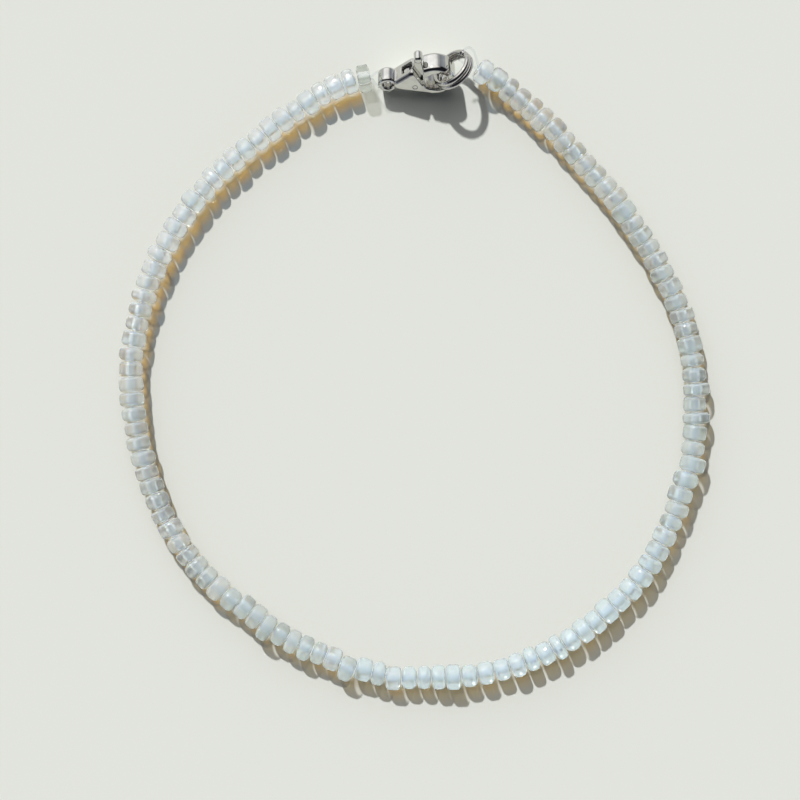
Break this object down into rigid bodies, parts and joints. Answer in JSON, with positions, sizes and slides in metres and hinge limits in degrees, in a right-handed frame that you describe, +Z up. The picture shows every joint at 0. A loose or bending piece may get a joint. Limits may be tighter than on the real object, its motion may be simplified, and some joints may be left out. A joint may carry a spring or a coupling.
{
  "type": "beaded anklet",
  "caption": "Anklet of small milky glass beads strung in a loop, closed by a steel lobster clasp that hooks a split ring.",
  "frame": {"origin": "middle of the whole anklet in plan, on the surface that it lies on", "axes": "+Z up from the surface, +Y towards the clasp, +X from the clasp's eyelet towards the split ring"},
  "size_m": [0.0737, 0.0801, 0.0063],
  "materials": {
    "opal_glass": "milky opal glass, fire polished, pale blue with an amber glow where light passes through",
    "clear_glass": "clear polished glass",
    "clasp_steel": "cast stainless steel, polished",
    "ring_steel": "drawn stainless steel wire, polished",
    "thread": "clear nylon monofilament"
  },
  "bodies": {
    "anklet": {"bead_run_1": "opal_glass", "bead_run_2": "opal_glass", "bead_run_3": "opal_glass", "bead_run_4": "opal_glass", "bead_run_5": "opal_glass", "bead_run_6": "opal_glass", "bead_run_7": "opal_glass", "bead_run_8": "opal_glass", "clear_bead": "clear_glass", "clasp_body": "clasp_steel", "clasp_pin": "clasp_steel", "split_ring": "ring_steel", "clasp_thread": "thread", "ring_thread": "thread"},
    "lever": {"clasp_lever": "clasp_steel"}
  },
  "joints": [
    {"name": "lever_pivot", "type": "hinge", "parent": "anklet", "child": "lever", "pos_m": [0.0002, 0.03628, 0.00187], "axis": [0.0051, -0.8695, 0.4938], "range_deg": [0, 24], "stiffness_Nm_per_rad": 0.00002, "springref_deg": -20.05}
  ]
}
